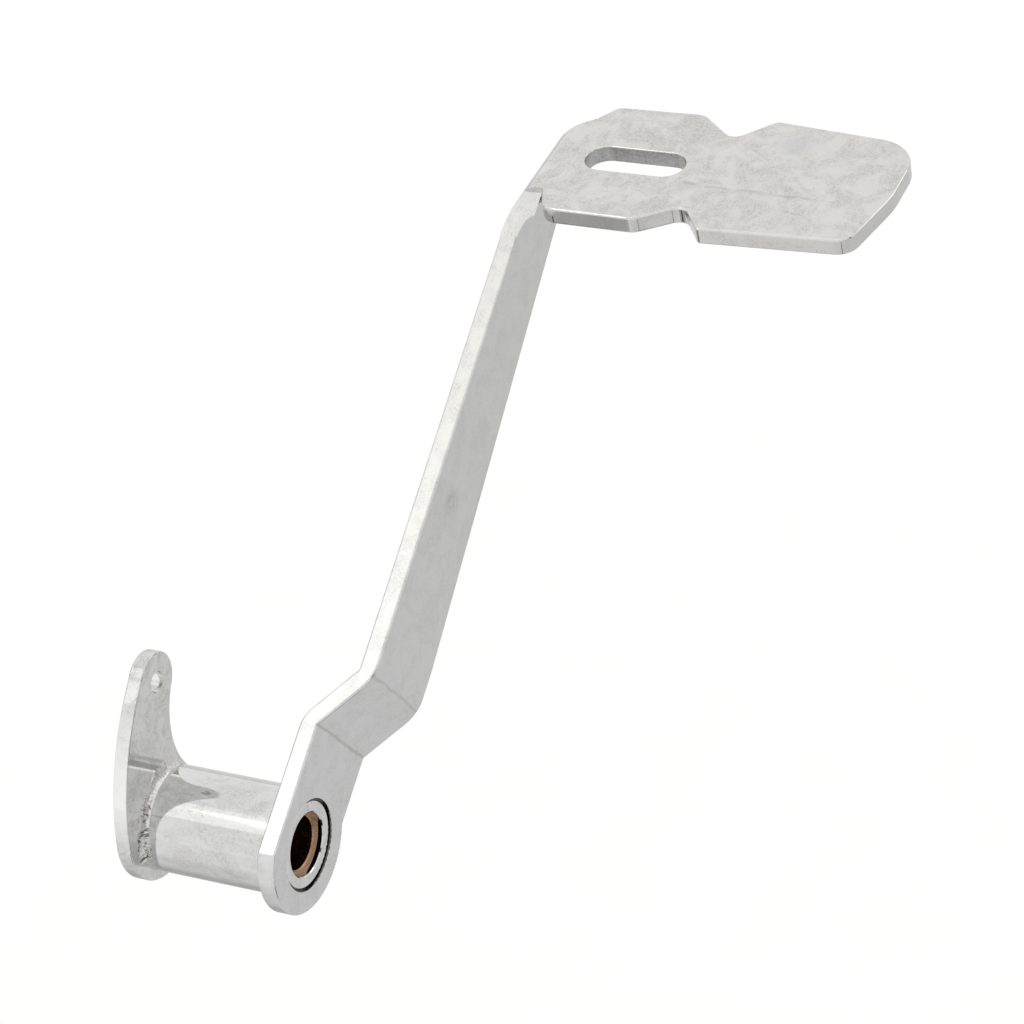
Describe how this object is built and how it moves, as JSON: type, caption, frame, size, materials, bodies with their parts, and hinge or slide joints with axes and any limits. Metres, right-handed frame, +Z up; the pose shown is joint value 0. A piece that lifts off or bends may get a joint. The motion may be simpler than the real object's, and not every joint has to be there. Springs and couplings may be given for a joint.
{
  "type": "rear brake pedal arm",
  "caption": "Chrome-plated motorcycle rear brake pedal arm: bushed pivot tube, jogged flat bar rising to a slotted pad plate, and a push-rod lever on the tube's far end.",
  "frame": {"origin": "on the pivot axis, in the middle of the hub, 25 mm from its outer faces", "axes": "+X forward towards the pad, +Y inboard along the pivot, +Z up, square to the pad plate"},
  "size_m": [0.2429, 0.1718, 0.1302],
  "materials": {
    "arm_chrome": "polished chrome plate on flat sheet, faint clouding",
    "tube_chrome": "polished chrome plate on turned tube, fine turning lines",
    "lever_chrome": "polished chrome plate on flat sheet",
    "weld_chrome": "chrome plate over a dressed weld",
    "bushing_bronze": "oiled sintered bronze, bright at the bored rim"
  },
  "bodies": {
    "root": {"pedal_arm": "arm_chrome", "pivot_tube": "tube_chrome", "push_rod_lever": "lever_chrome", "lever_weld": "weld_chrome", "outboard_bushing": "bushing_bronze", "inboard_bushing": "bushing_bronze"}
  },
  "joints": []
}
